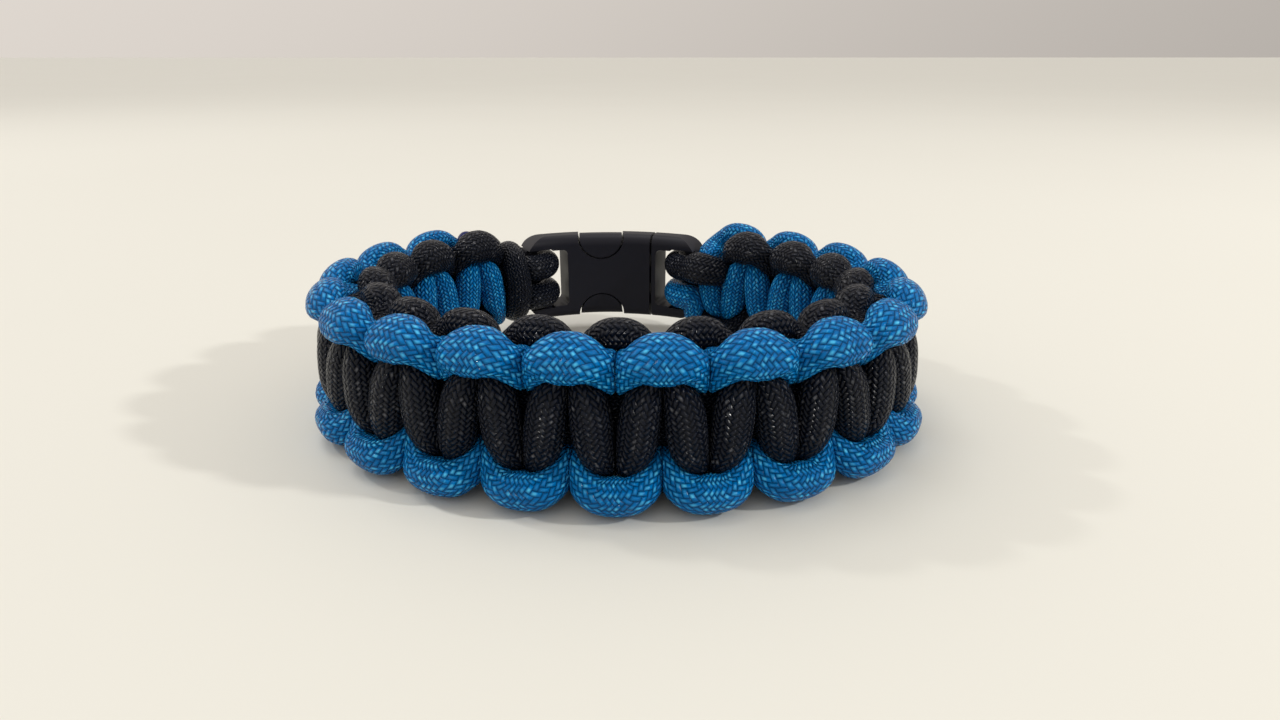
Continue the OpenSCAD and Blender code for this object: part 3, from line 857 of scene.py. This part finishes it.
# %% [markdown]
# ## The two weaving cords
# Each cord is three meshes in a line: its irregular start, sixteen copies of the pair, and its
# irregular end. Where they meet, the rings of the ends run over into the rings of the pair, so the
# weld closes without a step. The parts are joined while the band is still straight, settled, and
# bent round the loop last. The last stitches of the tail are the melted tip.

# %% Build a weaving cord
PAIRS = (KNOTS - 3) // 2
END_KNOTS = 6
BLEND = 3 * FINE
WELD = 0.02
CORE_WELD = 0.001


def shifted(tube, distance):
    return tube + np.array([distance, 0, 0])


def whole_lines(side, edge):
    head = smooth_line(start_stops(side, edge) + weave_stops(1, END_KNOTS, side, edge))
    tail = smooth_line(weave_stops(KNOTS - END_KNOTS, KNOTS - 1, side, edge)
                       + end_stops(side, edge * parity(KNOTS)))
    return head, tail


lines = {1: whole_lines(1, 1), -1: whole_lines(-1, -1)}


def knot_rings(knot, side, edge):
    """The model half knot, mirrored and moved to where this one is."""
    return shifted(flipped(model, side, edge * parity(knot)), (knot - 1) * PITCH)


def join(things, name):
    """Joins straight pieces into one object, keeping their stitch counts."""
    verts, faces, uv, base = [], [], [], 0
    for mesh in [thing.data for thing in things]:
        co = np.empty(len(mesh.vertices) * 3)
        mesh.vertices.foreach_get("co", co)
        verts.append(co.reshape(-1, 3))
        faces += [[base + i for i in face.vertices] for face in mesh.polygons]
        layer = mesh.attributes["sheath"]
        values = np.empty(len(mesh.loops) * 2)
        layer.data.foreach_get("vector", values)
        uv.append(values)
        base += len(mesh.vertices)
    joined = bpy.data.meshes.new(name)
    joined.from_pydata(settle(np.vstack(verts)).tolist(), [], faces)
    joined.uv_layers.new(name="sheath").data.foreach_set("uv", np.concatenate(uv))
    for thing in things:
        bpy.data.objects.remove(thing)
    return object_of(joined, name)


def weaving_cord(name, side, edge, material):
    head_line, tail_line = lines[side]
    other_head, other_tail = lines[-side]
    head_last = len(start_stops(side, edge)) * FINE + per_knot
    head = rings(head_line, 0, head_last, other_head)
    tail_first = (END_KNOTS - 1) * per_knot
    tail = rings(tail_line, tail_first, len(tail_line) - 1, np.vstack([other_tail, hitch_line]))

    first, second = knot_rings(2, side, edge), knot_rings(3, side, edge)
    pair = np.vstack([first[:-1], second])
    share = np.linspace(0, 1, BLEND)[:, None, None]
    head[-BLEND:] = head[-BLEND:] * (1 - share) + knot_rings(1, side, edge)[-BLEND:] * share
    before_tail = knot_rings(KNOTS - 1, side, edge)
    tail[:BLEND] = tail[:BLEND] * share + before_tail[:BLEND] * (1 - share)
    tail = rounded_end(tail)

    u, v = sheath_map(pair, whole=True)
    row = object_of(tube_mesh(name + "_pair", pair, u, v), name + "_row")
    run_tree(row, repeat_pair, {"Copies": PAIRS, "Spacing": 2 * PITCH * MM, "Stitches": float(u[-1])})
    ends = []
    for label, part in (("head", head), ("tail", tail)):
        part_u, part_v = sheath_map(part)
        if label == "head":
            part_u, part_v = part_u - part_u[-1], part_v - part_v[-1, 0] + v[0, 0]
        else:
            part_u, part_v = part_u + PAIRS * u[-1], part_v - part_v[0, 0] + v[-1, 0]
            material.node_tree.nodes["melt_from"].outputs[0].default_value = part_u[-1] - MELTED
        mesh = tube_mesh(name + "_" + label, part, part_u, part_v, label == "head", label == "tail")
        ends.append(object_of(mesh, name + "_" + label))
    cord = join([row] + ends, name)
    run_tree(cord, bend_band, {"Plan": loop_plan, "Length": LOOP * MM, "Weld": WELD * MM,
                               "Material": material})
    return cord


print(f"{PAIRS} pairs, {BLEND} rings run over at each end")

# %% [markdown]
# ## The core's mesh
# Inside the weave the two strands don't show, so each is a plain pressed oval that stays straight.
# Only the hitch has soft rings like the weaving cords.


# %% Core mesh
def core_run(edge):
    x = np.linspace(FIRST_BAR + PITCH, LAST_BAR - PITCH / 2, 2 * KNOTS)
    if edge < 0:
        x = x[::-1]
    ring = np.stack([0 * ring_angle, -np.sin(ring_angle) * CORE_T / 2,
                     edge * np.cos(ring_angle) * (CORE_Z - AIR / 2)], axis=1)
    middle = np.stack([x, 0 * x, edge * CORE_Z + 0 * x], axis=1)
    return middle[:, None] + ring


def core_cord(material):
    others = np.vstack([lines[1][1], lines[-1][1]])
    hitch = rings(hitch_line, 0, len(hitch_line) - 1, others, in_core=True)
    tube = np.vstack([core_run(1), hitch, core_run(-1)])
    u, v = sheath_map(tube)
    cord = join([object_of(tube_mesh("core_run", tube, u, v, True, True), "core_run")], "core_sheath")
    run_tree(cord, bend_band, {"Plan": loop_plan, "Length": LOOP * MM, "Weld": CORE_WELD * MM,
                               "Material": material})
    return cord

# %% [markdown]
# ## From the CAD's cords to the soft ones
# Now the three cords are made. Each one takes the place of its CAD node: the plain node is hidden,
# and the soft piece rides on the same body. The core is black cord too, so it has the same sheath.

# %% Make the cords and hand over to them
black = weaving_cord("black_weave", 1, 1, black_sheath)
blue = weaving_cord("blue_weave", -1, -1, blue_sheath)
core = core_cord(black_sheath)
for piece, node, slot in ((black, "black_cord", "black_cord"), (blue, "blue_cord", "blue_cord"),
                          (core, "core_cord", "black_cord")):
    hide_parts(node)
    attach(piece, "root")
    print(piece.name, len(piece.data.polygons), "faces")

# %% [markdown]
# ## The buckle
# The buckle's two halves are right as the CAD made them, so they only get a finish: black moulded
# plastic, satin rather than glossy, with a very fine grain and a finish that varies a little.


# %% Moulded plastic
GRAIN_SCALE, GRAIN_DEPTH = 4200.0, 0.02 * MM
CLOUD_SCALE = 160.0
SMOOTHEST, VARIES = 0.40, 0.14


def plastic_material():
    material, tree, shader = new_material("black_plastic")
    place = add(tree, "ShaderNodeTexCoord")
    grain = add(tree, "ShaderNodeTexNoise",
                {"Vector": place.outputs["Object"], "Scale": GRAIN_SCALE, "Detail": 3.0})
    cloud = add(tree, "ShaderNodeTexNoise",
                {"Vector": place.outputs["Object"], "Scale": CLOUD_SCALE, "Detail": 2.0})
    sums = Sums(tree)
    shader.inputs["Base Color"].default_value = (0.010, 0.0105, 0.018, 1)
    rough = sums("ADD", SMOOTHEST, sums("MULTIPLY", cloud.outputs[0], VARIES))
    tree.links.new(rough, shader.inputs["Roughness"])
    shader.inputs["Specular IOR Level"].default_value = 0.22
    bump = add(tree, "ShaderNodeBump",
               {"Height": grain.outputs[0], "Distance": GRAIN_DEPTH, "Strength": 0.35})
    tree.links.new(bump.outputs[0], shader.inputs["Normal"])
    return material


plastic = plastic_material()
for node in ("buckle_socket", "buckle_plug"):
    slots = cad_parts[node].material_slots
    for slot in slots:
        slot.material = plastic
    print(node, len(slots), "material slots")

# %% [markdown]
# ## Floor
# The bracelet stands on a plain pale table. A very large flat floor does that job: its far edge is
# far away, where the surround has nearly its tone. A faint cloud of two nearly equal tints keeps it
# from looking like paper.


# %% Floor
def floor_material():
    material, tree, shader = new_material("pale_table")
    place = add(tree, "ShaderNodeTexCoord")
    cloud = add(tree, "ShaderNodeTexNoise",
                {"Vector": place.outputs["Object"], "Scale": 6.0, "Detail": 2.0})
    tint = add(tree, "ShaderNodeMix", {"Factor": cloud.outputs[0]}, data_type="RGBA")
    tint.inputs["A"].default_value = (0.755, 0.755, 0.700, 1)
    tint.inputs["B"].default_value = (0.775, 0.778, 0.724, 1)
    tree.links.new(tint.outputs["Result"], shader.inputs["Base Color"])
    shader.inputs["Roughness"].default_value = 0.6
    shader.inputs["Specular IOR Level"].default_value = 0.2
    return material


def floor_mesh():
    """A flat floor, far larger than the picture shows."""
    near, far, wide = -2.0, 14.0, 12.0
    mesh = bpy.data.meshes.new("table")
    corners = [(-wide, near, 0), (wide, near, 0), (wide, far, 0), (-wide, far, 0)]
    mesh.from_pydata(corners, [], [(0, 1, 2, 3)])
    return mesh


floor = object_of(floor_mesh(), "table")
floor.data.materials.append(floor_material())
print("floor:", floor.name)

# %% [markdown]
# ## Light
# The photograph has two soft-edged shadows, one to the left and one to the right, so there is a lamp
# on each side, well above the bracelet, and the right one is the stronger. They are small, which
# keeps the edges of their shadows fairly firm. A third light, weak and very wide, comes from overhead.


# %% Lamps
LAMP_SIZE = 0.05
LAMP_COLOUR = (1.0, 0.97, 0.93)
LAMPS = [("left_side", (-0.56, 0.256, 0.512), 0.92), ("right_side", (0.65, -0.18, 0.43), 2.3)]
OVERHEAD_POWER, OVERHEAD_ANGLE, OVERHEAD_TILT = 0.6, 30, (-14, -12, 0)


def light(kind, name, power, colour):
    data = bpy.data.lights.new(name, kind)
    data.energy = power
    data.color = colour
    thing = bpy.data.objects.new(name, data)
    bpy.context.scene.collection.objects.link(thing)
    return thing


for name, place, power in LAMPS:
    lamp = light("AREA", name, power, LAMP_COLOUR)
    lamp.data.shape = "DISK"
    lamp.data.size = LAMP_SIZE
    lamp.location = place
    lamp.rotation_euler = (-Vector(place)).to_track_quat("-Z", "Y").to_euler()
over = light("SUN", "over", OVERHEAD_POWER, (0.97, 0.98, 1.0))
over.data.angle = math.radians(OVERHEAD_ANGLE)
over.rotation_euler = [math.radians(turned) for turned in OVERHEAD_TILT]
print(f"{len(LAMPS)} lamps at the sides and one overhead")

# %% [markdown]
# The room's own light comes from the world: warm, brightest overhead and a little brighter to the
# left and behind the table. A direction is enough to work it out, so it needs no picture of a room.


# %% Surround
ROOM, BEHIND, TO_LEFT, OVERHEAD = 0.56, 0.06, 0.20, 0.22


def surround():
    """Brightest overhead, and a little brighter to the left and behind the table."""
    world = bpy.data.worlds.new("surround")
    world.use_nodes = True
    tree = world.node_tree
    sums = Sums(tree)
    way = add(tree, "ShaderNodeSeparateXYZ", {0: add(tree, "ShaderNodeTexCoord").outputs["Generated"]})
    level = sums("ADD", ROOM, sums("MULTIPLY", way.outputs["Y"], BEHIND))
    level = sums("SUBTRACT", level, sums("MULTIPLY", way.outputs["X"], TO_LEFT))
    above = sums("MAXIMUM", way.outputs["Z"], 0.0)
    strength = sums("ADD", level, sums("MULTIPLY", above, OVERHEAD))
    back = tree.nodes["Background"]
    back.inputs["Color"].default_value = (1.0, 0.925, 0.85, 1)
    tree.links.new(strength, back.inputs["Strength"])
    return world


bpy.context.scene.world = surround()
print("surround:", bpy.context.scene.world.name)

# %% [markdown]
# ## Camera
# The photograph was taken close up, a little above the bracelet and looking slightly down. The
# camera was fitted to it: its place and angles are measured from the loop's own middle, and the
# lens gives 780 pixels of focal length in a picture 1280 wide.

# %% Camera
FOCAL, WIDTH = 780, 1280
CAMERA_AT = Vector((-0.9, -102.8, 45.6))
LOOK_DOWN, TURN = 21.38, 2.45
camera_data = bpy.data.cameras.new("camera")
camera_data.sensor_width = 36
camera_data.lens = FOCAL / WIDTH * camera_data.sensor_width
camera_data.clip_start = 0.005
camera = bpy.data.objects.new("camera", camera_data)
camera.location = (CAMERA_AT - ORIGIN) * MM
camera.rotation_euler = (math.radians(90 - LOOK_DOWN), 0, math.radians(-TURN))
bpy.context.scene.collection.objects.link(camera)
bpy.context.scene.camera = camera
bpy.context.scene.view_settings.view_transform = "Standard"
print(f"camera: {camera_data.lens:.1f} mm lens, looking down {LOOK_DOWN} degrees")

# %% [markdown]
# ## Finish
# The plan curve was only needed to bend the band round the loop, so it is removed.

# %% Finish
bpy.data.objects.remove(loop_plan)
